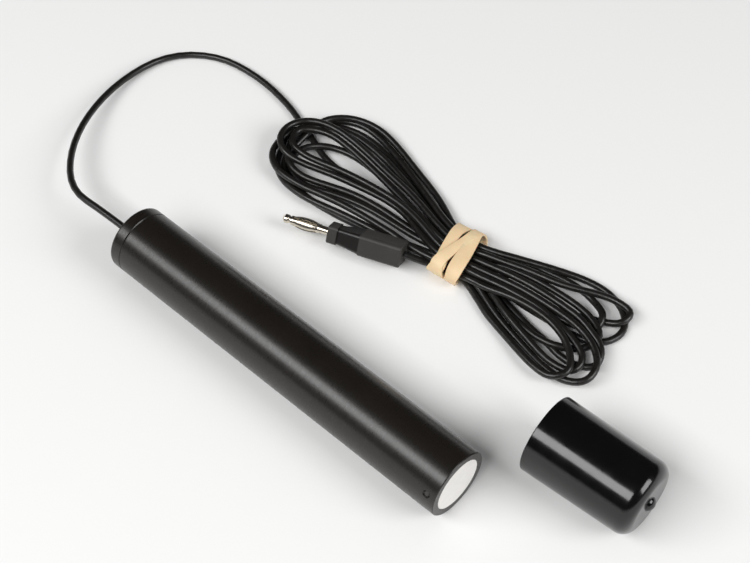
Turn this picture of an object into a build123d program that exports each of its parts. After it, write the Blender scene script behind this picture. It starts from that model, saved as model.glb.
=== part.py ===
# Silver/silver chloride reference electrode, lying on a bench with its vinyl cap taken off.
# A black tube with a white porous junction in one end, and a lead, tied in a hank, that ends
# in a 4 mm banana plug.
# Millimetres. The origin is the centre of the sensing face, +X points out of that face along
# the tube, +Z is up, and the bench is one body radius below the origin.

import os
from math import atan2, cos, pi, radians, sin, sqrt, tan

from build123d import *

os.makedirs("parts", exist_ok=True)

# Body tube and its lead end
body_diameter = 25.4
body_length = 156.6           # from the sensing face to the outside of the end cap
chamber_diameter = 18.0       # bore of the electrolyte chamber
edge_break = 0.3              # chamfer on turned edges
fit_gap = 0.05                # radial clearance of pushed and bonded fits
flange_thickness = 5.0
flange_round = 0.9
spigot_length = 12.6

# Porous junction in its counterbore
junction_diameter = 19.94
junction_thickness = 12.0
gasket_thickness = 1.0
gasket_land = 1.6             # how far the gasket reaches in over the shoulder
dimple_diameter = 3.0
pin_diameter = 2.0
pin_length = 4.6
pin_recess = 0.35
pin_setback = 3.65            # from the sensing face
pin_angle = 159.0             # round the tube from +Y towards +Z

# Electrolyte chamber. It takes the length that the junction and the potting leave it.
bulkhead_thickness = 6.0
o_ring_section = 1.5
groove_clearance = 0.35       # added to the section for the groove's width
rod_diameter = 2.0
rod_tip_setback = 11.0        # from the shoulder to the rod's tip
spacer_setback = 17.0         # from the shoulder to the spacer
spacer_thickness = 3.0
flow_hole_diameter = 3.6
flow_hole_circle = 11.4
flow_hole_count = 6

# Splice between the silver rod and the lead, in potting behind the bulkhead
potted_lead = 9.0             # from the end cap to the sleeve
splice_gap = 4.0              # from the bulkhead to the crimp barrel
splice_length = 12.0
splice_diameter = 3.8
splice_web = 1.0              # solid middle of the barrel
conductor_diameter = 1.5
strip_gap = 2.0               # bare copper between the barrel and the insulation
sleeve_wall = 0.45
sleeve_grip = 6.0             # how far the sleeve covers the insulation
sleeve_rod_grip = 2.0

# Lead and its bush in the end cap
lead_diameter = 2.7
lead_hole_clearance = 0.1
bush_diameter = 8.0
bush_seat_depth = 4.0
bush_lip_diameter = 10.4
bush_lip = 1.5

# Vinyl cap, off the tube
cap_mouth_diameter = 29.0
cap_end_diameter = 27.94
cap_length = 41.9
cap_corner = 4.8
cap_wall = 1.85
cap_rim_round = 0.5
cap_nub_diameter = 5.6
cap_nub_height = 1.7
cap_mouth_x = 9.4
cap_mouth_y = 33.9
cap_heading = 2.6             # degrees from the tube's direction

# Banana plug
plug_tip_x = -127.1
plug_tip_y = 47.6
plug_heading = 20.6           # degrees from the tube's direction
plug_roll = 30.0              # it leans back on one long edge
stem_length = 19.0
stem_diameter = 3.1
knob_length = 2.8
knob_diameter = 3.5
knob_neck = 2.6
leaf_start = 3.4              # from the tip to the cage of leaves
leaf_length = 12.2
leaf_bulge_diameter = 5.0
leaf_thickness = 0.22
leaf_collar = 1.2
leaf_count = 4
leaf_slot = 1.1
collar_length = 4.0
collar_width = 7.2
collar_depth = 6.8
waist_length = 9.4
waist_inset = 0.4             # step down from the collar to the grip
block_length = 16.7
block_width = 8.6
block_depth = 10.0
block_step = 0.25             # step up from the grip to the rear block
block_corner = 1.5
collar_corner = 1.2
barrel_length = 19.5
barrel_diameter = 5.0
barrel_clearance = 0.05
screw_diameter = 3.0
screw_length = 3.6
screw_slot_width = 0.6
screw_slot_depth = 0.8
screw_setback = 4.5           # from the barrel's inner end
screw_access_clearance = 0.3
plug_strip = 9.0              # bare copper inside the barrel
plug_lead_grip = 0.8          # insulation inside the barrel's mouth

# Hank of lead and the rubber band round it
hank_height = 6.4
hank_round = 1.9
band_x = -65.8
band_y = 80.9
band_heading = 14.0
band_inner_width = 26.0
band_inner_height = 5.0
band_thickness = 1.2
band_strand_width = 5.2
# Each wrap's skew in degrees, its shift along the hank and how much looser it is than the first
band_wraps = ((-9.0, -1.8, 0.0), (9.0, 1.2, 0.15), (0.0, 3.4, 0.3))

# Positions worked out from the sizes
body_radius = body_diameter / 2
chamber_radius = chamber_diameter / 2
junction_radius = junction_diameter / 2
lead_radius = lead_diameter / 2
rod_radius = rod_diameter / 2
conductor_radius = conductor_diameter / 2
splice_radius = splice_diameter / 2
bench = -body_radius
cap_face = -body_length
tube_back = cap_face + flange_thickness
shoulder = -(junction_thickness + gasket_thickness)
spigot_front = tube_back + spigot_length
sleeve_back = spigot_front + potted_lead
insulation_end = sleeve_back + sleeve_grip
splice_back = insulation_end + strip_gap
splice_front = splice_back + splice_length
splice_middle = (splice_front + splice_back) / 2
sleeve_front = splice_front + sleeve_rod_grip
bulkhead_back = splice_front + splice_gap
bulkhead_front = bulkhead_back + bulkhead_thickness
chamber_length = shoulder - bulkhead_front
rod_tip = shoulder - rod_tip_setback
spacer_front = shoulder - spacer_setback
spacer_back = spacer_front - spacer_thickness
bush_seat = cap_face + bush_seat_depth
lead_exit = cap_face - bush_lip
lead_hole_radius = lead_radius + lead_hole_clearance
groove_width = o_ring_section + groove_clearance


# Electrode body

with BuildPart() as body_tube:
    with BuildSketch(Plane.XZ):
        with BuildLine():
            Polyline(
                (tube_back, chamber_radius),
                (shoulder, chamber_radius),
                (shoulder, junction_radius),
                (0, junction_radius),
                (0, body_radius),
                (tube_back, body_radius),
                close=True,
            )
        make_face()
    revolve(axis=Axis.X)
    rims = body_tube.edges().filter_by(GeomType.CIRCLE)
    chamfer(rims.filter_by(lambda rim: abs(rim.radius - body_radius) < 0.01), edge_break)
    pin_direction = Vector(0, cos(radians(pin_angle)), sin(radians(pin_angle)))
    pin_plane = Plane(
        origin=pin_direction * body_radius + Vector(-pin_setback, 0, 0),
        x_dir=(1, 0, 0),
        z_dir=pin_direction,
    )
    with Locations(pin_plane):
        CounterSinkHole(
            pin_diameter / 2 + fit_gap,
            dimple_diameter / 2,
            depth=body_radius - junction_radius + pin_recess,
        )
body_tube.part.label = "body_tube"
export_step(body_tube.part, "parts/body_tube.step")

with BuildPart() as retaining_pin:
    with BuildSketch(pin_plane.offset(-pin_recess)):
        Circle(pin_diameter / 2)
    extrude(amount=-pin_length)
    chamfer(retaining_pin.edges().filter_by(GeomType.CIRCLE), edge_break / 2)
retaining_pin.part.label = "retaining_pin"
export_step(retaining_pin.part, "parts/retaining_pin.step")

# A seam of two chamfers shows where the end cap's flange meets the tube.
with BuildPart() as end_cap:
    with BuildSketch(Plane.XZ):
        with BuildLine():
            Polyline(
                (spigot_front, lead_hole_radius),
                (spigot_front, chamber_radius - fit_gap),
                (tube_back, chamber_radius - fit_gap),
                (tube_back, body_radius),
                (cap_face, body_radius),
                (cap_face, bush_diameter / 2),
                (bush_seat, bush_diameter / 2),
                (bush_seat, lead_hole_radius),
                close=True,
            )
        make_face()
    revolve(axis=Axis.X)
    outer_rims = end_cap.edges().filter_by(GeomType.CIRCLE)
    outer_rims = outer_rims.filter_by(lambda rim: abs(rim.radius - body_radius) < 0.01).sort_by(Axis.X)
    fillet(outer_rims[0], flange_round)
    chamfer(outer_rims[-1], edge_break)
    spigot_middle = (spigot_front + tube_back) / 2
    with BuildSketch(Plane.YZ.offset(spigot_middle - groove_width / 2)):
        Circle(chamber_radius + 1)
        Circle(chamber_radius - o_ring_section, mode=Mode.SUBTRACT)
    extrude(amount=groove_width, mode=Mode.SUBTRACT)
end_cap.part.label = "end_cap"
export_step(end_cap.part, "parts/end_cap.step")

with BuildPart() as end_cap_o_ring:
    with Locations((spigot_middle, 0, 0)):
        Torus(chamber_radius - o_ring_section / 2, o_ring_section / 2, rotation=(0, 90, 0))
end_cap_o_ring.part.label = "end_cap_o_ring"
export_step(end_cap_o_ring.part, "parts/end_cap_o_ring.step")

with BuildPart() as lead_bush:
    with BuildSketch(Plane.XZ):
        with BuildLine():
            Polyline(
                (bush_seat, lead_radius),
                (bush_seat, bush_diameter / 2),
                (cap_face, bush_diameter / 2),
                (cap_face, bush_lip_diameter / 2),
                (lead_exit, bush_lip_diameter / 2),
                (lead_exit, lead_radius),
                close=True,
            )
        make_face()
    revolve(axis=Axis.X)
    lip_edge = lead_bush.edges().filter_by(GeomType.CIRCLE).group_by(Axis.X)[0].sort_by(SortBy.RADIUS)[-1]
    fillet(lip_edge, bush_lip * 0.7)
lead_bush.part.label = "lead_bush"
export_step(lead_bush.part, "parts/lead_bush.step")

# Sensing end

with BuildPart() as junction_gasket:
    with BuildSketch(Plane.YZ.offset(shoulder)):
        Circle(junction_radius - fit_gap)
        Circle(chamber_radius - gasket_land, mode=Mode.SUBTRACT)
    extrude(amount=gasket_thickness)
junction_gasket.part.label = "junction_gasket"
export_step(junction_gasket.part, "parts/junction_gasket.step")

with BuildPart() as porous_junction:
    with BuildSketch(Plane.YZ.offset(-junction_thickness)):
        Circle(junction_radius - fit_gap)
    extrude(amount=junction_thickness)
    chamfer(porous_junction.edges().filter_by(GeomType.CIRCLE), edge_break / 2)
    with BuildSketch(pin_plane.offset(-pin_recess - pin_length)):
        Circle(pin_diameter / 2 + fit_gap)
    extrude(amount=pin_length, mode=Mode.SUBTRACT)
porous_junction.part.label = "porous_junction"
export_step(porous_junction.part, "parts/porous_junction.step")

# Electrolyte chamber

with BuildPart() as silver_element:
    with BuildSketch(Plane.YZ.offset(splice_middle + splice_web / 2)):
        Circle(rod_radius)
    extrude(amount=rod_tip - splice_middle - splice_web / 2)
    fillet(silver_element.edges().sort_by(Axis.X)[-1], rod_radius * 0.9)
silver_element.part.label = "silver_element"
export_step(silver_element.part, "parts/silver_element.step")

with BuildPart() as bulkhead:
    with BuildSketch(Plane.YZ.offset(bulkhead_back)):
        Circle(chamber_radius - fit_gap)
        Circle(rod_radius, mode=Mode.SUBTRACT)
    extrude(amount=bulkhead_thickness)
    bulkhead_middle = (bulkhead_front + bulkhead_back) / 2
    with BuildSketch(Plane.YZ.offset(bulkhead_middle - groove_width / 2)):
        Circle(chamber_radius + 1)
        Circle(chamber_radius - o_ring_section, mode=Mode.SUBTRACT)
    extrude(amount=groove_width, mode=Mode.SUBTRACT)
bulkhead.part.label = "bulkhead"
export_step(bulkhead.part, "parts/bulkhead.step")

with BuildPart() as bulkhead_o_ring:
    with Locations((bulkhead_middle, 0, 0)):
        Torus(chamber_radius - o_ring_section / 2, o_ring_section / 2, rotation=(0, 90, 0))
bulkhead_o_ring.part.label = "bulkhead_o_ring"
export_step(bulkhead_o_ring.part, "parts/bulkhead_o_ring.step")

with BuildPart() as rod_spacer:
    with BuildSketch(Plane.YZ.offset(spacer_back)):
        Circle(chamber_radius)
        Circle(rod_radius, mode=Mode.SUBTRACT)
        with PolarLocations(flow_hole_circle / 2, flow_hole_count):
            Circle(flow_hole_diameter / 2, mode=Mode.SUBTRACT)
    extrude(amount=spacer_thickness)
rod_spacer.part.label = "rod_spacer"
export_step(rod_spacer.part, "parts/rod_spacer.step")

# The gel fills the chamber round the rod and through the spacer's holes, up to the junction.
with BuildPart() as electrolyte_gel:
    with BuildSketch(Plane.YZ.offset(bulkhead_front)):
        Circle(chamber_radius)
    extrude(amount=chamber_length)
    with BuildSketch(Plane.YZ.offset(shoulder)):
        Circle(chamber_radius - gasket_land)
    extrude(amount=gasket_thickness)
    add(silver_element.part, mode=Mode.SUBTRACT)
    add(rod_spacer.part, mode=Mode.SUBTRACT)
electrolyte_gel.part.label = "electrolyte_gel"
export_step(electrolyte_gel.part, "parts/electrolyte_gel.step")

# Splice and its potting

with BuildPart() as lead_inner:
    with BuildSketch(Plane.YZ.offset(lead_exit)):
        Circle(lead_radius)
    extrude(amount=insulation_end - lead_exit)
lead_inner.part.label = "lead_inner"
export_step(lead_inner.part, "parts/lead_inner.step")

with BuildPart() as lead_conductor:
    with BuildSketch(Plane.YZ.offset(insulation_end)):
        Circle(conductor_radius)
    extrude(amount=splice_middle - splice_web / 2 - insulation_end)
lead_conductor.part.label = "lead_conductor"
export_step(lead_conductor.part, "parts/lead_conductor.step")

with BuildPart() as splice_barrel:
    with BuildSketch(Plane.YZ.offset(splice_back)):
        Circle(splice_radius)
    extrude(amount=splice_length)
    add(silver_element.part, mode=Mode.SUBTRACT)
    add(lead_conductor.part, mode=Mode.SUBTRACT)
    chamfer(splice_barrel.edges().filter_by(lambda rim: abs(rim.length - pi * splice_diameter) < 0.01), 0.2)
splice_barrel.part.label = "splice_barrel"
export_step(splice_barrel.part, "parts/splice_barrel.step")

# The sleeve has shrunk onto the rod, the barrel and the insulation.
sleeve_line = (
    (sleeve_front, rod_radius),
    (splice_front + sleeve_wall, rod_radius),
    (splice_front, splice_radius),
    (splice_back, splice_radius),
    (insulation_end, lead_radius),
    (sleeve_back, lead_radius),
)
sleeve_skin = [(x, radius + sleeve_wall) for x, radius in sleeve_line]
with BuildPart() as heat_shrink_sleeve:
    with BuildSketch(Plane.XZ):
        with BuildLine():
            Polyline(*sleeve_line, *reversed(sleeve_skin), close=True)
        make_face()
    revolve(axis=Axis.X)
heat_shrink_sleeve.part.label = "heat_shrink_sleeve"
export_step(heat_shrink_sleeve.part, "parts/heat_shrink_sleeve.step")

with BuildPart() as epoxy_potting:
    with BuildSketch(Plane.XZ):
        with BuildLine():
            Polyline(
                (bulkhead_back, chamber_radius),
                (bulkhead_back, rod_radius),
                (sleeve_front, rod_radius),
                *sleeve_skin,
                (sleeve_back, lead_radius),
                (spigot_front, lead_radius),
                (spigot_front, chamber_radius),
                close=True,
            )
        make_face()
    revolve(axis=Axis.X)
epoxy_potting.part.label = "epoxy_potting"
export_step(epoxy_potting.part, "parts/epoxy_potting.step")

# Vinyl cap. It tapers, so it lies on its rim and its closed end, nose down.

cap_mouth_radius = cap_mouth_diameter / 2
cap_end_radius = cap_end_diameter / 2
cap_straight = cap_length - cap_corner
cap_droop = atan2(cap_mouth_radius - cap_end_radius, cap_straight)
cap_axis = Vector(
    cos(radians(cap_heading)) * cos(cap_droop),
    sin(radians(cap_heading)) * cos(cap_droop),
    -sin(cap_droop),
)
cap_across = Vector(sin(radians(cap_heading)), -cos(radians(cap_heading)), 0)
nub_reach = cap_nub_diameter / 2
nub_sphere = (nub_reach**2 + cap_nub_height**2) / (2 * cap_nub_height)
nub_centre = cap_length + cap_nub_height - nub_sphere
cap_plane = Plane(
    origin=(cap_mouth_x, cap_mouth_y, bench + cap_mouth_radius / cos(cap_droop)),
    x_dir=cap_axis,
    z_dir=cap_across,
)
with BuildPart() as vinyl_cap:
    with BuildSketch(cap_plane):
        with BuildLine():
            Line((0, cap_mouth_radius - cap_wall), (0, cap_mouth_radius))
            Line((0, cap_mouth_radius), (cap_straight, cap_end_radius))
            CenterArc((cap_straight, cap_end_radius - cap_corner), cap_corner, 0, 90)
            Line((cap_length, cap_end_radius - cap_corner), (cap_length, nub_reach))
            ThreePointArc(
                (cap_length, nub_reach),
                (nub_centre + nub_sphere * sqrt(0.5), nub_sphere * sqrt(0.5)),
                (cap_length + cap_nub_height, 0),
            )
            Line((cap_length + cap_nub_height, 0), (cap_length - cap_wall, 0))
            Line((cap_length - cap_wall, 0), (cap_length - cap_wall, cap_end_radius - cap_corner))
            CenterArc((cap_straight, cap_end_radius - cap_corner), cap_corner - cap_wall, 0, 90)
            Line((cap_straight, cap_end_radius - cap_wall), (0, cap_mouth_radius - cap_wall))
        make_face()
    revolve(axis=Axis(cap_plane.origin, cap_axis))
    mouth_centre = cap_plane.origin
    mouth_edges = vinyl_cap.edges().filter_by(GeomType.CIRCLE)
    mouth_edges = mouth_edges.filter_by(lambda rim: (rim.arc_center - mouth_centre).length < 0.01)
    fillet(mouth_edges, cap_rim_round)
vinyl_cap.part.label = "vinyl_cap"
export_step(vinyl_cap.part, "parts/vinyl_cap.step")

# Banana plug. Its own frame has X along the pin towards the wire, from the housing's front
# face. It lies rolled back on one long edge of the rear block.

roll = radians(plug_roll)
heading = radians(plug_heading)
plug_axis = Vector(cos(heading), sin(heading), 0)
plug_far = Vector(-sin(heading), cos(heading), 0)
face_up = plug_far * sin(roll) + Vector(0, 0, cos(roll))
face_out = plug_far * -cos(roll) + Vector(0, 0, sin(roll))
edge_up = (block_width / 2 - block_corner) * cos(roll)
edge_out = (block_depth / 2 - block_corner) * sin(roll)
plug_axis_height = edge_up + edge_out + block_corner
plug_tip = Vector(plug_tip_x, plug_tip_y, bench + plug_axis_height)
plug_front = plug_tip + plug_axis * stem_length
plug_section = Plane(origin=plug_front, x_dir=face_up, z_dir=plug_axis)
plug_side = Plane(origin=plug_front, x_dir=plug_axis, z_dir=plug_axis.cross(face_out))
plug_line = Axis(plug_front, plug_axis)
block_start = collar_length + waist_length
housing_length = block_start + block_length
screw_x = barrel_length - screw_setback

with BuildPart() as plug_housing:
    with BuildSketch(plug_section):
        RectangleRounded(collar_width, collar_depth, collar_corner)
    extrude(amount=collar_length)
    fillet(plug_housing.faces().sort_by(plug_line)[0].edges(), 0.5)
    with BuildSketch(plug_section.offset(collar_length)):
        RectangleRounded(collar_width - 2 * waist_inset, collar_depth - 2 * waist_inset, collar_corner)
    with BuildSketch(plug_section.offset(block_start)):
        RectangleRounded(block_width - 2 * block_step, block_depth - 2 * block_step, block_corner)
    loft()
    with BuildSketch(plug_section.offset(block_start)):
        RectangleRounded(block_width, block_depth, block_corner)
    extrude(amount=block_length)
    fillet(plug_housing.faces().sort_by(plug_line)[-1].edges(), 0.7)
    with BuildSketch(plug_section):
        Circle(barrel_diameter / 2 + barrel_clearance)
    extrude(amount=barrel_length, mode=Mode.SUBTRACT)
    with BuildSketch(plug_section.offset(barrel_length)):
        Circle(lead_radius + lead_hole_clearance)
    extrude(amount=housing_length - barrel_length, mode=Mode.SUBTRACT)
    screw_plane = Plane(
        origin=plug_front + plug_axis * screw_x,
        x_dir=plug_axis,
        z_dir=face_out * -1,
    )
    with BuildSketch(screw_plane):
        Circle(screw_diameter / 2 + screw_access_clearance)
    extrude(amount=block_depth, mode=Mode.SUBTRACT)
plug_housing.part.label = "plug_housing"
export_step(plug_housing.part, "parts/plug_housing.step")

with BuildPart() as plug_contact:
    with BuildSketch(plug_side):
        with BuildLine():
            Polyline(
                (-stem_length, 0),
                (-stem_length, knob_diameter * 0.25),
                (-stem_length + knob_length * 0.3, knob_diameter / 2),
                (-stem_length + knob_length * 0.7, knob_diameter / 2),
                (-stem_length + knob_length, knob_neck / 2),
                (-stem_length + leaf_start, knob_neck / 2),
                (-stem_length + leaf_start, stem_diameter / 2),
                (0, stem_diameter / 2),
                (0, barrel_diameter / 2),
                (barrel_length, barrel_diameter / 2),
                (barrel_length, 0),
                close=True,
            )
        make_face()
    revolve(axis=plug_line)
    with BuildSketch(plug_section.offset(barrel_length)):
        Circle(lead_radius)
    extrude(amount=-plug_lead_grip, mode=Mode.SUBTRACT)
    with BuildSketch(plug_section.offset(barrel_length - plug_lead_grip)):
        Circle(conductor_radius)
    extrude(amount=-plug_strip, mode=Mode.SUBTRACT)
    with BuildSketch(screw_plane.offset(conductor_radius * 0.9)):
        Circle(screw_diameter / 2)
    extrude(amount=barrel_diameter, mode=Mode.SUBTRACT)
plug_contact.part.label = "plug_contact"
export_step(plug_contact.part, "parts/plug_contact.step")

with BuildPart() as plug_clamp_screw:
    with BuildSketch(screw_plane.offset(conductor_radius)):
        Circle(screw_diameter / 2)
    extrude(amount=screw_length)
    chamfer(plug_clamp_screw.edges().filter_by(GeomType.CIRCLE), 0.15)
    with BuildSketch(screw_plane.offset(conductor_radius + screw_length)):
        Rectangle(screw_diameter + 1, screw_slot_width)
    extrude(amount=-screw_slot_depth, mode=Mode.SUBTRACT)
plug_clamp_screw.part.label = "plug_clamp_screw"
export_step(plug_clamp_screw.part, "parts/plug_clamp_screw.step")

# The leaves are one rolled sheet: a collar at each end and bowed strips between the slots.
leaf_back = -stem_length + leaf_start
leaf_front = leaf_back + leaf_length
leaf_low = stem_diameter / 2
leaf_high = leaf_bulge_diameter / 2 - leaf_thickness
leaf_middle = (leaf_back + leaf_front) / 2
with BuildPart() as plug_spring:
    with BuildSketch(plug_side):
        with BuildLine():
            Line((leaf_back, leaf_low), (leaf_back + leaf_collar, leaf_low))
            ThreePointArc(
                (leaf_back + leaf_collar, leaf_low),
                (leaf_middle, leaf_high),
                (leaf_front - leaf_collar, leaf_low),
            )
            Line((leaf_front - leaf_collar, leaf_low), (leaf_front, leaf_low))
            Line((leaf_front, leaf_low), (leaf_front, leaf_low + leaf_thickness))
            Line(
                (leaf_front, leaf_low + leaf_thickness),
                (leaf_front - leaf_collar, leaf_low + leaf_thickness),
            )
            ThreePointArc(
                (leaf_front - leaf_collar, leaf_low + leaf_thickness),
                (leaf_middle, leaf_high + leaf_thickness),
                (leaf_back + leaf_collar, leaf_low + leaf_thickness),
            )
            Line(
                (leaf_back + leaf_collar, leaf_low + leaf_thickness),
                (leaf_back, leaf_low + leaf_thickness),
            )
            Line((leaf_back, leaf_low + leaf_thickness), (leaf_back, leaf_low))
        make_face()
    revolve(axis=plug_line)
    with BuildSketch(plug_section.offset(leaf_back + leaf_collar)):
        with PolarLocations(leaf_bulge_diameter / 2, leaf_count, start_angle=180 / leaf_count):
            Rectangle(leaf_bulge_diameter, leaf_slot)
    extrude(amount=leaf_length - 2 * leaf_collar, mode=Mode.SUBTRACT)
plug_spring.part.label = "plug_spring"
export_step(plug_spring.part, "parts/plug_spring.step")

with BuildPart() as plug_lead_end:
    with BuildSketch(plug_section.offset(barrel_length - plug_lead_grip)):
        Circle(lead_radius)
    extrude(amount=housing_length - barrel_length + plug_lead_grip)
plug_lead_end.part.label = "plug_lead_end"
export_step(plug_lead_end.part, "parts/plug_lead_end.step")

with BuildPart() as plug_conductor:
    with BuildSketch(plug_section.offset(barrel_length - plug_lead_grip)):
        Circle(conductor_radius)
    extrude(amount=-plug_strip)
plug_conductor.part.label = "plug_conductor"
export_step(plug_conductor.part, "parts/plug_conductor.step")

# Hank: the outer shape of the coiled lead, from above, narrowed where the band grips it.

hank_outline = (
    (-152.5, 66.0),
    (-159.5, 75.0),
    (-161.0, 84.0),
    (-158.5, 93.0),
    (-151.0, 101.5),
    (-138.0, 106.0),
    (-120.0, 105.0),
    (-100.0, 99.5),
    (-84.0, 95.5),
    (-68.0, 93.6),
    (-52.0, 97.5),
    (-36.0, 102.0),
    (-17.0, 103.0),
    (-3.0, 102.0),
    (1.5, 98.5),
    (0.0, 91.0),
    (3.5, 82.0),
    (6.5, 73.0),
    (4.0, 65.0),
    (-5.0, 59.0),
    (-21.0, 59.5),
    (-41.0, 65.0),
    (-56.0, 68.5),
    (-70.0, 70.2),
    (-82.0, 73.5),
    (-96.0, 69.5),
    (-112.0, 63.5),
    (-126.0, 59.0),
    (-140.0, 60.0),
)
loosest_wrap = max(looser for skew, shift, looser in band_wraps)
band_middle = Vector(band_x, band_y, bench + band_inner_height / 2 + band_thickness + loosest_wrap)
hank_along = Vector(cos(radians(band_heading)), sin(radians(band_heading)), 0)

with BuildPart() as rubber_band:
    for skew, shift, looser in band_wraps:
        wrap_width = band_inner_width + 2 * looser
        wrap_height = band_inner_height + 2 * looser
        outer_height = wrap_height + 2 * band_thickness
        wrap_plane = Plane(
            origin=band_middle + hank_along * shift,
            x_dir=hank_along.rotate(Axis.Z, 90 + skew),
            z_dir=hank_along.rotate(Axis.Z, skew),
        )
        with BuildSketch(wrap_plane):
            RectangleRounded(wrap_width + 2 * band_thickness, outer_height, outer_height * 0.42)
            RectangleRounded(wrap_width, wrap_height, wrap_height * 0.42, mode=Mode.SUBTRACT)
        extrude(amount=band_strand_width / 2, both=True)
rubber_band.part.label = "rubber_band"
export_step(rubber_band.part, "parts/rubber_band.step")

with BuildPart() as lead_hank:
    with BuildSketch(Plane.XY.offset(bench)):
        with BuildLine():
            Spline(*hank_outline, periodic=True)
        make_face()
    extrude(amount=hank_height)
    fillet(lead_hank.faces().sort_by(Axis.Z)[-1].edges(), hank_round)
    add(rubber_band.part, mode=Mode.SUBTRACT)
lead_hank.part.label = "lead_hank"
export_step(lead_hank.part, "parts/lead_hank.step")

# Free lead. Each point is x, y and the height of the wire's centre over the bench.


def corner_radii(points):
    # Each bend is as large as its two runs allow.
    radii = []
    for before, here, after in zip(points, points[1:], points[2:]):
        run_in = here - before
        run_out = after - here
        shorter = min(run_in.length, run_out.length)
        radii.append(0.45 * shorter / tan(radians(run_in.get_angle(run_out)) / 2))
    return radii


def report_tube(name, radii, line_length, volume):
    section = pi * lead_radius**2
    print(name, "bend radii", [round(radius, 1) for radius in radii])
    print(name, "length", round(line_length, 1), "volume over section times length",
          round(volume / (section * line_length), 4))


lead_route = (
    (lead_exit, 0, body_radius),
    (-175.0, 0, body_radius),
    (-193.0, -0.8, 11.8),
    (-210.5, 13.0, 9.0),
    (-224.0, 33.0, 5.6),
    (-231.5, 57.0, 2.6),
    (-229.5, 81.0, 1.5),
    (-213.5, 95.5, 1.45),
    (-191.0, 98.0, 1.45),
    (-170.0, 94.5, 1.5),
    (-152.0, 88.0, 1.6),
)
lead_points = [Vector(x, y, bench + height) for x, y, height in lead_route]
lead_radii = corner_radii(lead_points)
with BuildPart() as lead_wire:
    with BuildLine() as lead_line:
        FilletPolyline(*lead_points, radius=lead_radii)
    lead_path = lead_line.wire()
    with BuildSketch(Plane(origin=lead_path @ 0, z_dir=lead_path % 0)):
        Circle(lead_radius)
    sweep(path=lead_path)
    report_tube("lead_wire", lead_radii, lead_path.length, lead_wire.part.volume)
    add(lead_hank.part, mode=Mode.SUBTRACT)
lead_wire.part.label = "lead_wire"
export_step(lead_wire.part, "parts/lead_wire.step")

plug_rear = plug_front + plug_axis * housing_length
tail_route = (
    (-71.8, 69.0, 4.0),
    (-67.4, 71.4, 2.8),
)
tail_points = [plug_rear, plug_rear + plug_axis * 4.8]
tail_points += [Vector(x, y, bench + height) for x, y, height in tail_route]
tail_radii = corner_radii(tail_points)
with BuildPart() as lead_tail:
    with BuildLine() as tail_line:
        FilletPolyline(*tail_points, radius=tail_radii)
    tail_path = tail_line.wire()
    with BuildSketch(Plane(origin=tail_path @ 0, z_dir=tail_path % 0)):
        Circle(lead_radius)
    sweep(path=tail_path)
    report_tube("lead_tail", tail_radii, tail_path.length, lead_tail.part.volume)
    add(lead_hank.part, mode=Mode.SUBTRACT)
    add(rubber_band.part, mode=Mode.SUBTRACT)
lead_tail.part.label = "lead_tail"
export_step(lead_tail.part, "parts/lead_tail.step")
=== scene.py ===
import math
import bpy
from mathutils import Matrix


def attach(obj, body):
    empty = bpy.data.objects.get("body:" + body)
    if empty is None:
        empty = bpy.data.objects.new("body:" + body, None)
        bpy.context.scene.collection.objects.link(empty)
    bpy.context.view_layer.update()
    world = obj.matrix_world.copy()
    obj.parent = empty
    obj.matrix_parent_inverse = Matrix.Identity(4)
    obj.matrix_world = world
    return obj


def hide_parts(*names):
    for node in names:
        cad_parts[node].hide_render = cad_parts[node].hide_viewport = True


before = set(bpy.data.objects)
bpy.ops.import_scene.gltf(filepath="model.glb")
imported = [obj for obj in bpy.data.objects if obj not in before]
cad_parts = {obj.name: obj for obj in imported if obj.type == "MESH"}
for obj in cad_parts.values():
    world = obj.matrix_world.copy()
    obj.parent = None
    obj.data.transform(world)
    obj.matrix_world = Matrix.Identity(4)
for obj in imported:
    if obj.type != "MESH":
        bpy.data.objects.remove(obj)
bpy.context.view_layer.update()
benchHeight = -0.0127
mm = 0.001

# The photograph's view: over the sensing end, looking back along the tube
view = {"place": (0.14712, -0.20188, 0.42732), "turn": (37.9034, 0.0, 42.3155), "lens": 71.698,
        "sensor": 36.0, "clip": (0.01, 20.0)}
bpy.ops.object.camera_add(location=view["place"],
                          rotation=[math.radians(angle) for angle in view["turn"]])
camera = bpy.context.object
camera.name = "benchCamera"
camera.data.lens = view["lens"]
camera.data.sensor_width = view["sensor"]
camera.data.clip_start, camera.data.clip_end = view["clip"]
bpy.context.scene.camera = camera
print("camera placed")


def tone(hexColour):
    # sRGB hex to the linear colour that a shader takes
    parts = [int(hexColour[i:i + 2], 16) / 255 for i in (1, 3, 5)]
    return [p / 12.92 if p <= 0.04045 else ((p + 0.055) / 1.055) ** 2.4 for p in parts] + [1.0]


def addNode(tree, kind, links=(), **settings):
    # in_Name or in_3 sets a socket by its name or number; any other setting is the node's own
    node = tree.nodes.new(kind)
    for name, value in settings.items():
        if name.startswith("in_"):
            key = name[3:]
            node.inputs[int(key) if key.isdigit() else key.replace("_", " ")].default_value = value
        else:
            setattr(node, name, value)
    for socket, source in links:
        tree.links.new(source, node.inputs[socket])
    return node


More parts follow.
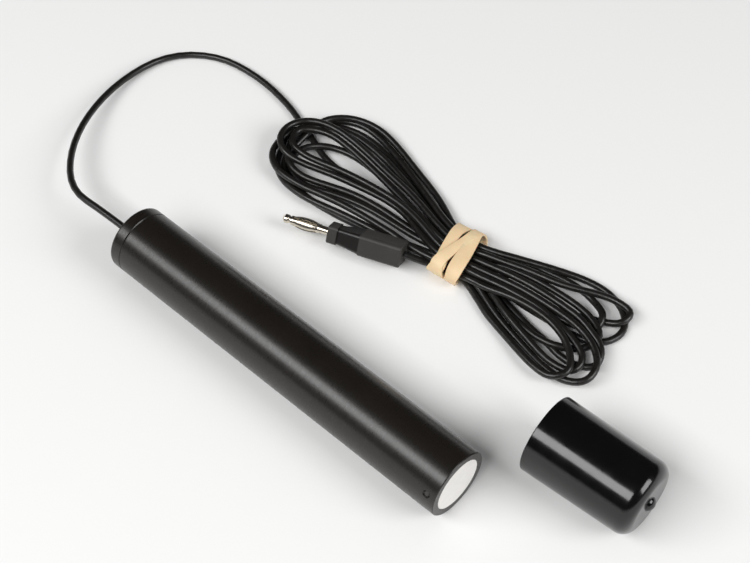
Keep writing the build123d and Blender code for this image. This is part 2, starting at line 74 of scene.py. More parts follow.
def makeFinish(name, look):
    # Mottled colour, uneven roughness and a fine bump, with patches and grain of a size in millimetres
    material = bpy.data.materials.new(name)
    material.use_nodes = True
    tree = material.node_tree
    shader = tree.nodes["Principled BSDF"]
    place = addNode(tree, "ShaderNodeTexCoord").outputs["Object"]
    stretch = addNode(tree, "ShaderNodeMapping", [("Vector", place)],
                      in_Scale=look.get("stretch", (1, 1, 1)))
    spots = addNode(tree, "ShaderNodeTexNoise", [("Vector", place)], in_Scale=1000 / look["patchMm"],
                    in_Detail=4.0, in_Roughness=0.6)
    grain = addNode(tree, "ShaderNodeTexNoise", [("Vector", stretch.outputs[0])],
                    in_Scale=1000 / look["grainMm"], in_Detail=3.0, in_Roughness=0.55)
    colour = addNode(tree, "ShaderNodeMix", [("Factor", spots.outputs["Fac"])], data_type="RGBA",
                     in_6=tone(look["colours"][0]), in_7=tone(look["colours"][1]))
    rough = addNode(tree, "ShaderNodeMapRange", [("Value", grain.outputs["Fac"])], in_From_Min=0.3,
                    in_From_Max=0.7, in_To_Min=look["roughness"][0], in_To_Max=look["roughness"][1])
    bump = addNode(tree, "ShaderNodeBump", [("Height", grain.outputs["Fac"])],
                   in_Strength=look["bump"], in_Distance=look["depthMm"] * mm)
    tree.links.new(colour.outputs[2], shader.inputs["Base Color"])
    tree.links.new(rough.outputs[0], shader.inputs["Roughness"])
    tree.links.new(bump.outputs[0], shader.inputs["Normal"])
    shader.inputs["Metallic"].default_value = look.get("metal", 0.0)
    if "ior" in look:
        shader.inputs["IOR"].default_value = look["ior"]
    if "coat" in look:
        shader.inputs["Coat Weight"].default_value = look["coat"]
        shader.inputs["Coat Roughness"].default_value = look["coatRoughness"]
    if "subsurface" in look:
        shader.inputs["Subsurface Weight"].default_value = look["subsurface"]
        shader.inputs["Subsurface Scale"].default_value = look["subsurfaceMm"] * mm
    if "clear" in look:
        shader.inputs["Transmission Weight"].default_value = look["clear"]
    return {"material": material, "tree": tree, "shader": shader, "place": place, "colour": colour,
            "rough": rough, "bump": bump}


# The lead: one cord from the end cap, round the hank and into the plug. Points are x, y and the
# height of the wire's centre over the bench, in millimetres.
lead = {
    "diameter": 2.7 * mm,
    "length": 2.90,
    "exit": (-0.1581, 0.0, 0.0),
    "steps": 4,
    "roundness": 5,
    # The stretch outside the hank: the route of part.py
    "arc": [
        (-158.1, 0.0, 12.7), (-175.0, 0.0, 12.7), (-193.0, -0.8, 11.8), (-210.5, 13.0, 9.0),
        (-224.0, 33.0, 5.6), (-231.5, 57.0, 2.6), (-229.5, 81.0, 1.5), (-213.5, 95.5, 1.45),
        (-191.0, 98.0, 1.45), (-170.0, 94.5, 1.5),
    ],
    # The hank: eight loops beyond the band and seven on the plug's side of it, traced over the
    # photograph and then moved apart by a separate script, with a point about every 7 mm
    "turns": [
        (-157.3, 89.7, 1.3), (-150.5, 87.5, 1.4), (-143.8, 84.7, 1.3), (-136.9, 82.7, 1.4),
        (-129.7, 82.2, 1.4), (-122.5, 82.9, 1.3), (-115.3, 83.9, 1.4), (-108.1, 84.5, 1.5),
        (-100.9, 84.4, 1.8), (-93.8, 83.7, 2.2), (-86.7, 82.4, 2.6), (-79.5, 81.6, 3.1),
        (-72.4, 81.0, 3.6), (-65.2, 81.6, 3.7), (-58.0, 81.1, 3.6), (-50.8, 80.5, 3.3),
        (-43.8, 79.0, 3.0), (-36.6, 78.5, 2.2), (-29.5, 79.3, 1.8), (-22.3, 80.0, 1.5),
        (-15.1, 80.3, 1.3), (-8.0, 81.8, 1.4), (-2.0, 86.2, 1.4), (-0.2, 93.6, 1.3),
        (-3.7, 99.9, 1.4), (-10.0, 103.6, 1.6), (-17.2, 104.5, 2.1), (-24.3, 103.1, 2.7),
        (-31.0, 100.6, 3.4), (-37.5, 97.5, 4.3), (-44.1, 94.6, 4.7), (-50.6, 91.6, 5.2),
        (-57.1, 88.5, 5.6), (-64.0, 86.4, 5.8), (-71.2, 85.9, 5.8), (-78.2, 87.5, 5.2),
        (-85.0, 89.9, 4.6), (-91.7, 92.7, 4.0), (-98.3, 95.4, 3.3), (-104.9, 98.1, 2.6),
        (-111.7, 100.5, 2.0), (-118.5, 102.9, 1.6), (-125.4, 105.0, 1.3), (-132.5, 106.3, 1.4),
        (-139.8, 106.6, 1.3), (-146.6, 103.8, 1.7), (-151.4, 98.5, 1.9), (-156.0, 92.7, 2.3),
        (-157.2, 86.1, 2.3), (-156.5, 78.8, 2.2), (-154.2, 71.9, 2.2), (-149.5, 66.3, 2.2),
        (-143.0, 62.9, 2.4), (-135.9, 61.9, 2.9), (-128.7, 61.9, 3.4), (-121.6, 63.0, 3.8),
        (-114.5, 64.5, 4.0), (-107.4, 65.8, 4.0), (-100.3, 67.0, 4.0), (-93.2, 68.0, 3.6),
        (-86.3, 70.2, 3.5), (-79.4, 72.2, 3.6), (-72.5, 74.3, 3.3), (-65.4, 75.8, 3.5),
        (-58.2, 75.5, 3.3), (-51.3, 73.4, 2.7), (-44.7, 70.7, 2.1), (-37.8, 68.4, 1.6),
        (-30.8, 66.6, 1.3), (-23.8, 65.0, 1.3), (-16.8, 63.2, 1.5), (-9.8, 61.9, 2.0),
        (-2.5, 61.9, 2.6), (3.8, 66.1, 3.7), (3.1, 73.7, 4.9), (-2.3, 78.7, 5.6),
        (-9.0, 81.3, 6.0), (-16.1, 82.3, 6.2), (-23.4, 82.3, 6.3), (-30.6, 82.0, 6.4),
        (-37.7, 81.4, 6.5), (-44.9, 80.2, 6.4), (-51.9, 78.9, 6.3), (-59.0, 77.4, 6.2),
        (-66.2, 76.6, 6.1), (-73.4, 76.8, 6.3), (-80.4, 78.5, 6.5), (-87.3, 80.4, 6.7),
        (-94.4, 81.9, 6.4), (-101.6, 82.4, 6.2), (-108.8, 82.1, 6.0), (-116.0, 81.5, 5.9),
        (-123.1, 80.6, 5.8), (-130.2, 79.1, 5.9), (-137.1, 77.2, 6.0), (-144.2, 75.7, 6.3),
        (-151.8, 76.6, 6.7), (-154.8, 83.6, 7.1), (-148.6, 88.6, 7.0), (-142.1, 91.0, 6.5),
        (-134.8, 90.9, 6.0), (-127.6, 90.4, 5.4), (-120.5, 89.5, 5.0), (-113.4, 88.3, 4.8),
        (-106.3, 86.9, 4.7), (-99.3, 85.4, 4.8), (-92.2, 83.7, 5.0), (-85.2, 82.3, 5.4),
        (-78.2, 80.4, 5.6), (-71.1, 79.5, 5.9), (-63.9, 80.0, 6.1), (-56.8, 81.3, 6.3),
        (-49.7, 82.7, 6.7), (-42.7, 84.2, 6.5), (-35.5, 85.0, 6.6), (-28.3, 85.5, 6.4),
        (-21.1, 85.6, 6.3), (-13.9, 85.6, 5.8), (-7.0, 83.5, 5.4), (-0.4, 81.2, 4.4),
        (2.4, 74.2, 2.4), (-4.2, 70.2, 1.8), (-11.5, 70.0, 1.4), (-18.4, 71.9, 1.3),
        (-25.6, 72.5, 1.4), (-32.6, 73.9, 1.3), (-39.7, 75.5, 1.4), (-46.7, 77.2, 1.3),
        (-53.6, 79.2, 1.4), (-60.7, 80.3, 1.4), (-68.0, 80.1, 1.3), (-75.1, 79.2, 1.4),
        (-82.3, 78.9, 1.3), (-89.5, 78.6, 1.4), (-96.7, 78.6, 1.3), (-103.9, 78.5, 1.4),
        (-111.1, 77.7, 1.7), (-118.1, 76.2, 2.2), (-124.9, 73.6, 2.8), (-131.4, 70.6, 3.5),
        (-138.2, 68.3, 4.1), (-145.6, 69.1, 4.7), (-150.9, 74.1, 4.7), (-154.9, 79.9, 3.8),
        (-154.8, 87.4, 3.3), (-151.9, 93.4, 1.9), (-147.0, 98.9, 1.9), (-140.3, 101.9, 1.4),
        (-133.1, 102.5, 1.3), (-126.0, 101.7, 1.4), (-118.9, 100.0, 1.3), (-112.1, 97.8, 1.4),
        (-105.2, 95.6, 1.3), (-98.3, 93.5, 1.4), (-91.5, 91.2, 1.3), (-84.7, 88.8, 1.3),
        (-77.8, 86.7, 1.4), (-70.6, 85.9, 1.3), (-63.4, 86.0, 1.4), (-56.3, 86.4, 1.4),
        (-50.2, 82.2, 1.3), (-43.0, 81.0, 1.4), (-35.8, 81.0, 1.3), (-28.9, 83.2, 1.4),
        (-22.4, 86.4, 1.3), (-15.7, 89.0, 1.7), (-9.5, 92.4, 1.3), (-2.6, 94.8, 3.1),
        (-1.9, 101.9, 4.0), (-10.3, 101.7, 4.6), (-16.9, 99.2, 4.9), (-23.3, 96.0, 5.2),
        (-30.0, 93.1, 5.5), (-37.0, 91.3, 5.9), (-43.9, 89.4, 6.1), (-50.7, 87.1, 6.2),
        (-57.6, 84.8, 6.7), (-64.4, 82.8, 6.2), (-71.7, 82.4, 6.1), (-78.7, 83.8, 5.7),
        (-85.7, 85.7, 5.5), (-92.6, 87.9, 5.2), (-99.5, 89.7, 5.0), (-106.6, 90.9, 4.9),
        (-113.8, 91.9, 5.0), (-120.9, 93.0, 5.3), (-128.0, 93.9, 5.8), (-135.2, 94.4, 6.4),
        (-142.4, 94.2, 7.0), (-149.3, 92.3, 7.9), (-155.5, 88.5, 7.8), (-158.5, 81.6, 7.9),
        (-156.3, 74.5, 7.7), (-149.7, 71.0, 7.1), (-142.5, 71.9, 6.2), (-135.7, 74.4, 5.3),
        (-129.1, 77.0, 4.4), (-122.2, 79.0, 3.7), (-115.2, 80.6, 3.3), (-108.1, 81.8, 3.2),
        (-100.8, 82.1, 3.4), (-93.7, 81.0, 3.9), (-86.9, 78.7, 4.4), (-80.3, 76.0, 5.3),
        (-73.4, 74.0, 6.1), (-66.1, 73.6, 6.1), (-59.0, 74.7, 6.4), (-51.9, 75.7, 6.5),
        (-44.9, 77.5, 6.3), (-37.8, 78.6, 6.1), (-30.6, 79.5, 5.8), (-23.4, 79.3, 5.6),
        (-16.3, 78.2, 5.3), (-9.4, 76.3, 5.4), (-2.4, 73.2, 4.7), (-2.2, 66.1, 3.5),
        (-10.0, 64.4, 3.4), (-17.1, 65.3, 3.4), (-24.1, 67.1, 3.6), (-31.1, 68.7, 3.9),
        (-38.0, 70.8, 4.2), (-44.6, 73.7, 3.9), (-51.2, 76.5, 4.0), (-58.1, 78.6, 3.7),
        (-65.4, 78.9, 3.6), (-72.5, 77.7, 3.5), (-79.6, 76.8, 2.7), (-86.7, 76.1, 2.4),
        (-93.9, 76.0, 1.9), (-101.1, 75.9, 1.6), (-108.3, 75.4, 1.4), (-115.4, 74.2, 1.3),
        (-122.3, 72.1, 1.4), (-129.1, 69.5, 1.3), (-136.0, 67.1, 1.5), (-143.2, 68.3, 1.7),
        (-148.9, 73.2, 2.3), (-148.7, 80.7, 2.9), (-143.4, 85.6, 4.0), (-137.5, 89.4, 3.0),
        (-130.3, 90.8, 2.9), (-123.1, 91.1, 2.3), (-115.9, 90.6, 1.9), (-108.8, 89.5, 1.6),
        (-101.8, 88.0, 1.4), (-94.8, 86.4, 1.3), (-87.7, 85.0, 1.4), (-80.6, 83.9, 1.4),
        (-73.4, 82.5, 1.3), (-66.3, 83.1, 1.6), (-58.9, 83.5, 1.6), (-53.4, 87.0, 2.6),
        (-46.3, 88.8, 3.0), (-39.3, 90.0, 3.4), (-32.1, 90.6, 3.6), (-24.9, 90.7, 4.0),
        (-17.7, 90.6, 4.0), (-10.7, 89.1, 4.2), (-4.1, 85.5, 3.9), (-5.0, 77.9, 3.4),
        (-10.6, 73.3, 3.2), (-17.0, 70.0, 4.0), (-24.2, 70.1, 2.9), (-31.3, 71.1, 2.5),
        (-38.4, 72.4, 1.8), (-45.4, 74.1, 1.3), (-52.3, 76.1, 1.4), (-59.4, 77.5, 1.3),
        (-66.6, 77.2, 1.4), (-73.7, 75.7, 1.3), (-80.5, 73.5, 1.4), (-87.4, 71.4, 1.3),
        (-94.3, 69.1, 1.4), (-101.2, 67.3, 1.3), (-108.3, 65.9, 1.4), (-115.4, 64.7, 1.3),
        (-122.6, 63.9, 1.4), (-129.8, 63.5, 1.3), (-136.9, 64.4, 1.4), (-144.1, 65.9, 1.3),
        (-149.9, 70.4, 1.7), (-152.2, 77.3, 1.9), (-151.8, 84.3, 3.7), (-152.5, 91.4, 4.7),
        (-150.8, 98.2, 4.6), (-145.8, 103.6, 4.4), (-139.3, 106.8, 4.0), (-132.1, 108.0, 3.5),
        (-125.0, 107.3, 2.8), (-118.0, 105.6, 2.3), (-111.1, 103.5, 2.0), (-104.2, 101.3, 1.9),
        (-97.3, 99.1, 2.0), (-90.6, 96.5, 2.3), (-84.2, 93.2, 2.7), (-77.9, 89.7, 3.0),
        (-71.0, 87.7, 3.2), (-63.7, 87.9, 3.1), (-57.1, 90.8, 2.7), (-50.6, 93.7, 2.2),
        (-43.7, 96.1, 1.8), (-36.7, 97.4, 1.5), (-29.6, 98.6, 1.9), (-22.3, 98.5, 2.5),
        (-15.3, 97.1, 2.4), (-8.8, 93.4, 4.4), (-8.0, 87.2, 1.5), (-14.7, 83.5, 3.0),
        (-21.7, 82.1, 2.9), (-28.9, 81.4, 3.5), (-36.0, 80.6, 4.0), (-43.2, 81.4, 4.0),
        (-50.2, 83.1, 3.9), (-57.4, 83.4, 4.6), (-64.3, 84.8, 3.8), (-71.6, 84.2, 3.7),
        (-78.7, 85.4, 3.6), (-85.6, 87.5, 3.5), (-92.5, 89.8, 3.4), (-99.3, 91.9, 3.3),
        (-106.3, 94.0, 3.2), (-113.2, 95.9, 3.2), (-120.3, 97.4, 3.3), (-127.4, 98.2, 3.7),
        (-134.6, 98.3, 4.1), (-141.6, 96.9, 4.9), (-148.4, 93.9, 5.0), (-152.3, 88.2, 6.3),
        (-156.9, 82.7, 5.4), (-157.1, 75.2, 5.1), (-154.6, 68.3, 5.0), (-148.3, 64.3, 4.9),
        (-141.1, 63.5, 5.1), (-133.9, 64.1, 5.0), (-126.9, 65.5, 5.2), (-119.8, 66.9, 5.4),
        (-112.7, 67.9, 5.6), (-105.5, 68.5, 5.9), (-98.3, 68.9, 6.0), (-91.1, 69.2, 6.2),
        (-83.9, 69.2, 5.8), (-76.8, 70.3, 5.0), (-69.8, 71.5, 5.1), (-62.6, 72.0, 4.4),
        (-55.5, 73.0, 4.9), (-48.3, 73.3, 5.9), (-41.6, 75.4, 6.3), (-34.5, 76.5, 6.8),
        (-27.3, 77.1, 6.8), (-20.1, 76.6, 6.8), (-13.2, 74.5, 6.6), (-7.1, 70.7, 6.2),
        (-2.4, 64.4, 5.7), (-7.0, 58.5, 4.3), (-14.6, 59.1, 3.5), (-21.5, 60.8, 2.8),
        (-28.4, 62.9, 2.2), (-35.3, 64.9, 1.7), (-42.2, 66.9, 1.4), (-48.8, 69.8, 1.4),
        (-55.5, 72.7, 1.3), (-62.5, 74.1, 1.8), (-69.5, 71.9, 2.0), (-75.1, 67.9, 4.1),
        (-81.2, 64.9, 5.7),
    ],
}
bpy.ops.object.select_all(action="DESELECT")
bpy.ops.curve.primitive_nurbs_curve_add(location=(0.0, 0.0, 0.0))
leadCord = bpy.context.object
leadCord.name = "leadCord"
leadCord.data.splines.clear()
leadSpline = leadCord.data.splines.new("NURBS")
leadPoints = lead["arc"] + lead["turns"]
leadSpline.points.add(len(leadPoints) - 1)
for point, (x, y, height) in zip(leadSpline.points, leadPoints):
    point.co = (x * mm, y * mm, height * mm + benchHeight, 1.0)
leadSpline.order_u = 3
leadSpline.use_endpoint_u = True
leadSpline.resolution_u = lead["steps"]
leadCord.data.dimensions = "3D"
leadCord.data.bevel_depth = lead["diameter"] / 2
leadCord.data.bevel_resolution = lead["roundness"]
leadCord.data.use_fill_caps = True

# PVC insulation, extruded: a waxy black with a thin soft line of light along each strand
leadFinish = makeFinish("extrudedPvcInsulation", {
    "colours": ("#0e0d0c", "#1c1a18"), "patchMm": 9.0, "grainMm": 1.3, "roughness": (0.25, 0.42),
    "bump": 0.6, "depthMm": 0.06, "ior": 1.53})
leadCord.data.materials.append(leadFinish["material"])
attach(leadCord, "root")
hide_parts("lead_wire", "lead_hank", "lead_tail")
print("lead laid: %d points" % len(leadPoints))

# Rubber band: three wraps of one flat natural rubber band, crossed over the hank
band = {
    "middle": (-66.5, 79.5), "heading": 7.0, "thick": 0.9, "sides": 96, "edge": 0.22, "edgeSteps": 2,
    # its lowest middle line over the bench, and what each wrap adds on top of the one before
    "foot": 0.48, "stack": 0.25,
    # 2 would be an ellipse: more is squarer
    "squareness": 2.7,
    # half the share of its width that a strand loses over the edge, and how far it wanders sideways
    # and upwards, in millimetres
    "narrows": 0.14, "wander": 0.35, "ripple": 0.18,
    # share of the skew that is left underneath
    "skewBelow": 0.25,
    # skew in degrees; then in millimetres: shift along the hank, half width and height of its way
    # round, width of the strand
    "wraps": [
        (-9.0, -3.9, 11.6, 8.4, 6.4),
        (17.0, -0.6, 12.0, 9.0, 5.4),
        (-11.0, 3.2, 12.2, 8.8, 6.0),
    ],
}
bandAlong = math.radians(band["heading"])
cosAlong, sinAlong = math.cos(bandAlong), math.sin(bandAlong)
bandPieces = []
for number, (skew, shift, halfWidth, high, strand) in enumerate(band["wraps"]):
    bpy.ops.object.select_all(action="DESELECT")
    bpy.ops.mesh.primitive_cylinder_add(vertices=band["sides"], radius=1.0, depth=strand * mm,
                                        end_fill_type="NOTHING", location=(0.0, 0.0, 0.0))
    wrap = bpy.context.object
    bpy.ops.object.mode_set(mode="EDIT")
    bpy.ops.mesh.select_all(action="SELECT")
    bpy.ops.mesh.subdivide(number_cuts=1)
    bpy.ops.object.mode_set(mode="OBJECT")
    for vertex in wrap.data.vertices:
        turn = math.atan2(vertex.co.y, vertex.co.x)
        side, up = math.cos(turn), math.sin(turn)
        # A squarish round: flat under the bench side, crowned over the strands
        power = 2 / band["squareness"]
        across = math.copysign(abs(side) ** power, side) * halfWidth * mm
        rise = (math.copysign(abs(up) ** power, up) + 1) * high * mm / 2
        # The strand narrows and rolls a little where it turns over the edge
        lay = vertex.co.z * (1 - band["narrows"] + band["narrows"] * math.cos(2 * turn + number))
        lay += band["wander"] * mm * math.sin(3 * turn + 2.1 * number)
        rise += band["ripple"] * mm * math.cos(5 * turn + number) * (up > 0)
        # Skewed on top and nearly square underneath, as a band that is twisted on has it
        onTop = max(0.0, up)
        skewHere = band["skewBelow"] + (1 - band["skewBelow"]) * onTop
        shifted = lay + shift * mm + across * math.tan(math.radians(skew)) * skewHere
        vertex.co = (
            band["middle"][0] * mm + cosAlong * shifted - sinAlong * across,
            band["middle"][1] * mm + sinAlong * shifted + cosAlong * across,
            benchHeight + band["foot"] * mm + rise + band["stack"] * mm * number * onTop,
        )
    bpy.ops.object.mode_set(mode="EDIT")
    bpy.ops.mesh.select_all(action="SELECT")
    bpy.ops.mesh.normals_make_consistent(inside=False)
    bpy.ops.object.mode_set(mode="OBJECT")
    wall = wrap.modifiers.new("wall", "SOLIDIFY")
    wall.thickness = band["thick"] * mm
    wall.offset = 0.0
    bpy.ops.object.modifier_apply(modifier="wall")
    edge = wrap.modifiers.new("edge", "BEVEL")
    edge.width = band["edge"] * mm
    edge.segments = band["edgeSteps"]
    bpy.ops.object.modifier_apply(modifier="edge")
    bpy.ops.object.shade_smooth()
    bandPieces.append(wrap)
bpy.ops.object.select_all(action="DESELECT")
for wrap in bandPieces:
    wrap.select_set(True)
bpy.context.view_layer.objects.active = bandPieces[0]
bpy.ops.object.join()
rubberBand = bpy.context.object
rubberBand.name = "crossedRubberBand"
# Natural crepe rubber: pale tan, matt, a little waxy, with light passing into its edges
bandFinish = makeFinish("naturalRubber", {
    "colours": ("#e0bf93", "#f0d9b2"), "patchMm": 6.0, "grainMm": 0.7, "roughness": (0.5, 0.62),
    "bump": 0.4, "depthMm": 0.05, "ior": 1.52, "subsurface": 0.15, "subsurfaceMm": 0.6})
rubberBand.data.materials.clear()
rubberBand.data.materials.append(bandFinish["material"])
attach(rubberBand, "root")
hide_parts("rubber_band")
print("rubber band wrapped")

# Finishes of the parts that the solids already shape
finishes = {
    # Turned and rubbed ABS: satin black, a broad soft warm light along it
    "turnedBlackAbs": {"nodes": ["body_tube", "end_cap"], "colours": ("#14110e", "#1d1915"),
                       "patchMm": 14.0, "grainMm": 0.5, "roughness": (0.26, 0.33), "bump": 0.25,
                       "depthMm": 0.02, "ior": 1.5, "stretch": (1.0, 0.25, 0.25)},
    # Sintered alumina: chalk white, dry, with fine open pores
    "sinteredCeramic": {"nodes": ["porous_junction"], "colours": ("#e4e1dd", "#f1efec"), "patchMm": 2.2,
                        "grainMm": 0.35, "roughness": (0.75, 0.9), "bump": 0.5, "depthMm": 0.06},
    # Cut nylon pin, dull grey black
    "cutNylon": {"nodes": ["retaining_pin"], "colours": ("#2a2928", "#3b3937"), "patchMm": 1.0,
                 "grainMm": 0.2, "roughness": (0.45, 0.6), "bump": 0.3, "depthMm": 0.02},
    # Dip-moulded vinyl: wet-looking black with sharp reflections
    "dippedVinyl": {"nodes": ["vinyl_cap"], "colours": ("#060606", "#0c0c0c"), "patchMm": 12.0,
                    "grainMm": 5.0, "roughness": (0.13, 0.19), "bump": 0.25, "depthMm": 0.08,
                    "ior": 1.5, "coat": 0.12, "coatRoughness": 0.1},
    # Moulded ABS of the plug: dry fine-textured charcoal
    "mouldedAbs": {"nodes": ["plug_housing"], "colours": ("#2b2927", "#373431"), "patchMm": 5.0,
                   "grainMm": 0.35, "roughness": (0.48, 0.62), "bump": 0.35, "depthMm": 0.03, "ior": 1.5},
    # Nickel plate on brass: warm silver mirror with fine turning marks
    "nickelPlate": {"nodes": ["plug_contact"], "colours": ("#cfc6b6", "#ddd5c7"), "patchMm": 4.0,
                    "grainMm": 0.25, "roughness": (0.16, 0.26), "bump": 0.2, "depthMm": 0.01, "metal": 1.0},
    # Nickel-plated spring leaves: the same silver, worn a little duller by the socket
    "springNickel": {"nodes": ["plug_spring"], "colours": ("#c9c1b2", "#dcd5c8"), "patchMm": 3.0,
                     "grainMm": 0.3, "roughness": (0.18, 0.3), "bump": 0.2, "depthMm": 0.01, "metal": 1.0},
    # Zinc plate on the clamp screw: pale blue-grey, half dull
    "zincPlate": {"nodes": ["plug_clamp_screw"], "colours": ("#b3b0a8", "#c6c4bd"), "patchMm": 1.5,
                  "grainMm": 0.3, "roughness": (0.25, 0.38), "bump": 0.2, "depthMm": 0.01, "metal": 1.0},
    # The lead's PVC where it runs inside: the same waxy black, finer grained
    "leadPvcInside": {"nodes": ["lead_inner", "plug_lead_end"], "colours": ("#141312", "#262422"),
                      "patchMm": 9.0, "grainMm": 0.9, "roughness": (0.3, 0.42), "bump": 0.3,
                      "depthMm": 0.02, "ior": 1.53},
    # Nitrile rubber seals and bush: dull black, faintly dusty
    "nitrileRubber": {"nodes": ["lead_bush", "end_cap_o_ring", "bulkhead_o_ring", "junction_gasket"],
                      "colours": ("#151515", "#1f1e1d"), "patchMm": 3.0, "grainMm": 0.4,
                      "roughness": (0.5, 0.68), "bump": 0.3, "depthMm": 0.02},
    # Cast epoxy: amber brown and glassy
    "castEpoxy": {"nodes": ["epoxy_potting"], "colours": ("#6b4518", "#7d5321"), "patchMm": 6.0,
                  "grainMm": 3.0, "roughness": (0.12, 0.2), "bump": 0.15, "depthMm": 0.03, "ior": 1.55},
    # Stripped copper strands: warm red metal
    "bareCopper": {"nodes": ["lead_conductor", "plug_conductor"], "colours": ("#b8714b", "#c98660"),
                   "patchMm": 2.0, "grainMm": 0.25, "roughness": (0.25, 0.38), "bump": 0.3,
                   "depthMm": 0.02, "metal": 1.0},
    # Tinned copper barrel: dull silver
    "tinnedCopper": {"nodes": ["splice_barrel"], "colours": ("#b9b7b0", "#c9c7c1"), "patchMm": 2.0,
                     "grainMm": 0.3, "roughness": (0.3, 0.42), "bump": 0.2, "depthMm": 0.02, "metal": 1.0},
    # Shrunk polyolefin sleeve: smooth matt black
    "shrunkPolyolefin": {"nodes": ["heat_shrink_sleeve"], "colours": ("#1a1a1a", "#242423"),
                         "patchMm": 4.0, "grainMm": 0.8, "roughness": (0.4, 0.52), "bump": 0.3,
                         "depthMm": 0.04},
    # Acetal discs, milky white
    "milkyAcetal": {"nodes": ["bulkhead", "rod_spacer"], "colours": ("#dedcd4", "#e9e7e0"),
                    "patchMm": 5.0, "grainMm": 0.5, "roughness": (0.35, 0.48), "bump": 0.2,
                    "depthMm": 0.02, "ior": 1.48},
    # Silver rod with a plum-grey chloride coat
    "chloridedSilver": {"nodes": ["silver_element"], "colours": ("#5c5358", "#77706f"), "patchMm": 1.5,
                        "grainMm": 0.2, "roughness": (0.45, 0.65), "bump": 0.4, "depthMm": 0.02,
                        "metal": 0.6},
    # Gelled electrolyte: cloudy, wet
    "cloudyGel": {"nodes": ["electrolyte_gel"], "colours": ("#d9dddb", "#e4e7e5"), "patchMm": 7.0,
                  "grainMm": 4.0, "roughness": (0.08, 0.14), "bump": 0.15, "depthMm": 0.05,
                  "ior": 1.36, "clear": 0.35},
}
made = {}
for name, look in finishes.items():
    made[name] = makeFinish(name, look)
    for node in look["nodes"]:
        part = bpy.data.objects[node]
        part.data.materials.clear()
        part.data.materials.append(made[name]["material"])

# Turning marks run round the tube, strongest by the sensing end and faint behind it. The real ones are
# far finer: they are drawn 5 mm apart, so that they show. Distances are along X from the sensing face.
turningMarks = {"pitchMm": 5.0265, "wander": 1.2, "faintAt": -0.040, "strongAt": -0.004, "faint": 0.12,
                "strength": 0.35, "depthMm": 0.02}
tube = made["turnedBlackAbs"]
tubePlace = addNode(tube["tree"], "ShaderNodeSeparateXYZ", [(0, tube["place"])])
turned = addNode(tube["tree"], "ShaderNodeTexWave", [("Vector", tube["place"])], wave_type="BANDS",
                 bands_direction="X", in_Scale=2 * math.pi / (20 * turningMarks["pitchMm"] * mm),
                 in_Distortion=turningMarks["wander"], in_Detail=2.0, in_Detail_Scale=1.5)
nearEnd = addNode(tube["tree"], "ShaderNodeMapRange", [("Value", tubePlace.outputs["X"])],
                  in_From_Min=turningMarks["faintAt"], in_From_Max=turningMarks["strongAt"],
                  in_To_Min=turningMarks["faint"], in_To_Max=1.0)
turnedHere = addNode(tube["tree"], "ShaderNodeMath", [(0, turned.outputs["Fac"]), (1, nearEnd.outputs[0])],
                     operation="MULTIPLY")
turnedBump = addNode(tube["tree"], "ShaderNodeBump", [("Height", turnedHere.outputs[0]),
                                                      ("Normal", tube["bump"].outputs[0])],
                     in_Strength=turningMarks["strength"], in_Distance=turningMarks["depthMm"] * mm)
tube["tree"].links.new(turnedBump.outputs[0], tube["shader"].inputs["Normal"])

# The plug's waist, recessed between its collar and rear block, is polished, and its colour is painted
# darker as the shade of the recess. Distances are along the plug, from the end that the wire enters.
plugWaist = {"rear": (-0.08115, 0.06487), "heading": 20.6, "start": 0.0167, "end": 0.0261,
             "blend": 0.0004, "colour": "#191716", "roughness": 0.36}
plug = made["mouldedAbs"]
plugTurn = math.radians(plugWaist["heading"])
towardsTip = (-math.cos(plugTurn), -math.sin(plugTurn), 0.0)
rearReach = plugWaist["rear"][0] * towardsTip[0] + plugWaist["rear"][1] * towardsTip[1]
plugReach = addNode(plug["tree"], "ShaderNodeVectorMath", [(0, plug["place"])],
                    operation="DOT_PRODUCT", in_1=towardsTip)
edges = []
for along, (before, after) in ((plugWaist["start"], (0.0, 1.0)), (plugWaist["end"], (1.0, 0.0))):
    edges.append(addNode(plug["tree"], "ShaderNodeMapRange", [("Value", plugReach.outputs["Value"])],
                         in_From_Min=rearReach + along,
                         in_From_Max=rearReach + along + plugWaist["blend"],
                         in_To_Min=before, in_To_Max=after))
waistMask = addNode(plug["tree"], "ShaderNodeMath", [(0, edges[0].outputs[0]), (1, edges[1].outputs[0])],
                    operation="MULTIPLY")
# Painted shade: the recessed waist gets a darker colour in place of the shade that falls in it
waistPaintedShade = addNode(plug["tree"], "ShaderNodeMix", [("Factor", waistMask.outputs[0]),
                                                      (6, plug["colour"].outputs[2])],
                      data_type="RGBA", in_7=tone(plugWaist["colour"]))
waistRough = addNode(plug["tree"], "ShaderNodeMix", [("Factor", waistMask.outputs[0]),
                                                     (2, plug["rough"].outputs[0])],
                     in_3=plugWaist["roughness"])
plug["tree"].links.new(waistPaintedShade.outputs[2], plug["shader"].inputs["Base Color"])
plug["tree"].links.new(waistRough.outputs[0], plug["shader"].inputs["Roughness"])
print("finishes given to the parts")

# Floor: the bench, pale by its own colour, which keeps the object's shadow
bench = {"size": 6.0, "colour": "#eeeeed", "roughness": 0.8}
bpy.ops.object.select_all(action="DESELECT")
bpy.ops.mesh.primitive_plane_add(size=bench["size"], location=(0.0, 0.0, benchHeight))
benchFloor = bpy.context.object
benchFloor.name = "benchFloor"
benchPaint = bpy.data.materials.new("whiteBenchBoard")
benchPaint.use_nodes = True
benchShader = benchPaint.node_tree.nodes["Principled BSDF"]
benchShader.inputs["Base Color"].default_value = tone(bench["colour"])
benchShader.inputs["Roughness"].default_value = bench["roughness"]
benchFloor.data.materials.append(benchPaint)

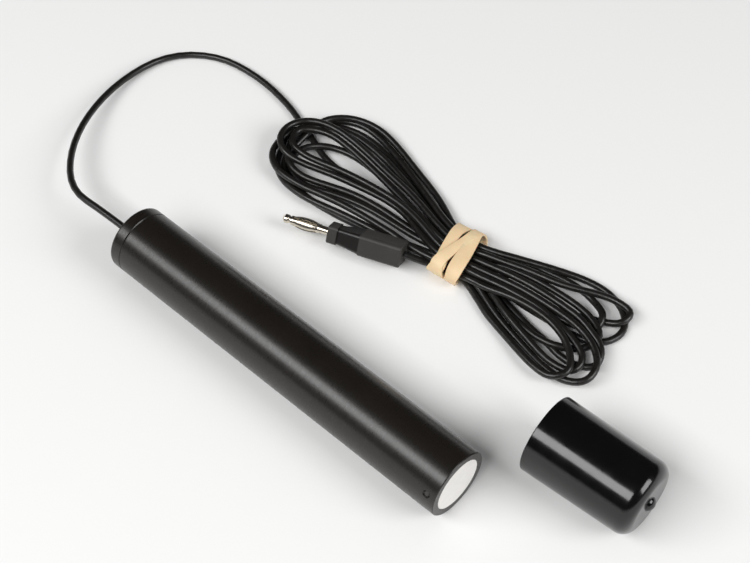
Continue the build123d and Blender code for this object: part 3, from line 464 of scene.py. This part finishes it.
# Light: a long soft lamp in front of the tube's near side and a second one off the sensing end
lamps = {
    "keyPanel": {"place": (-0.42, -0.98, 1.12), "turn": (41.0, 0.0, 0.0), "size": (1.7, 0.6),
                 "power": 21.9},
    "endPanel": {"place": (1.15, 0.36, 0.85), "turn": (0.0, 54.0, 17.0), "size": (0.8, 0.8),
                 "power": 12.6},
}
for name, lamp in lamps.items():
    bpy.ops.object.light_add(type="AREA", location=lamp["place"],
                             rotation=[math.radians(angle) for angle in lamp["turn"]])
    panel = bpy.context.object
    panel.name = name
    panel.data.shape = "RECTANGLE"
    panel.data.size, panel.data.size_y = lamp["size"]
    panel.data.energy = lamp["power"]

# The room gives a weak even light. The camera, glossy and transmission rays see it white round the
# horizon, and dark overhead as a studio's ceiling is.
room = {"light": "#f5f5f5", "strength": 0.26, "seen": "#fbfbfb", "whiteBelow": 0.02, "darkAbove": 0.12,
        "overhead": 0.03}
surround = bpy.data.worlds.new("paleRoom")
bpy.context.scene.world = surround
surround.use_nodes = True
roomTree = surround.node_tree
roomLight = roomTree.nodes["Background"]
roomLight.inputs["Color"].default_value = tone(room["light"])
roomLight.inputs["Strength"].default_value = room["strength"]
direction = addNode(roomTree, "ShaderNodeTexCoord").outputs["Generated"]
upwards = addNode(roomTree, "ShaderNodeSeparateXYZ", [(0, direction)])
ceiling = addNode(roomTree, "ShaderNodeMapRange", [("Value", upwards.outputs["Z"])],
                  in_From_Min=room["whiteBelow"], in_From_Max=room["darkAbove"],
                  in_To_Min=1.0, in_To_Max=room["overhead"])
seenWhite = addNode(roomTree, "ShaderNodeBackground", [("Strength", ceiling.outputs[0])],
                    in_Color=tone(room["seen"]))
rayKind = addNode(roomTree, "ShaderNodeLightPath")
seenOrGlossy = addNode(roomTree, "ShaderNodeMath", [(0, rayKind.outputs["Is Camera Ray"]),
                                                    (1, rayKind.outputs["Is Glossy Ray"])],
                       operation="MAXIMUM")
seenAtAll = addNode(roomTree, "ShaderNodeMath", [(0, seenOrGlossy.outputs[0]),
                                                 (1, rayKind.outputs["Is Transmission Ray"])],
                    operation="MAXIMUM")
roomMix = addNode(roomTree, "ShaderNodeMixShader", [(0, seenAtAll.outputs[0]), (1, roomLight.outputs[0]),
                                                    (2, seenWhite.outputs[0])])
roomTree.links.new(roomMix.outputs[0], roomTree.nodes["World Output"].inputs["Surface"])
bpy.context.scene.view_settings.view_transform = "Standard"
print("bench and lamps placed")
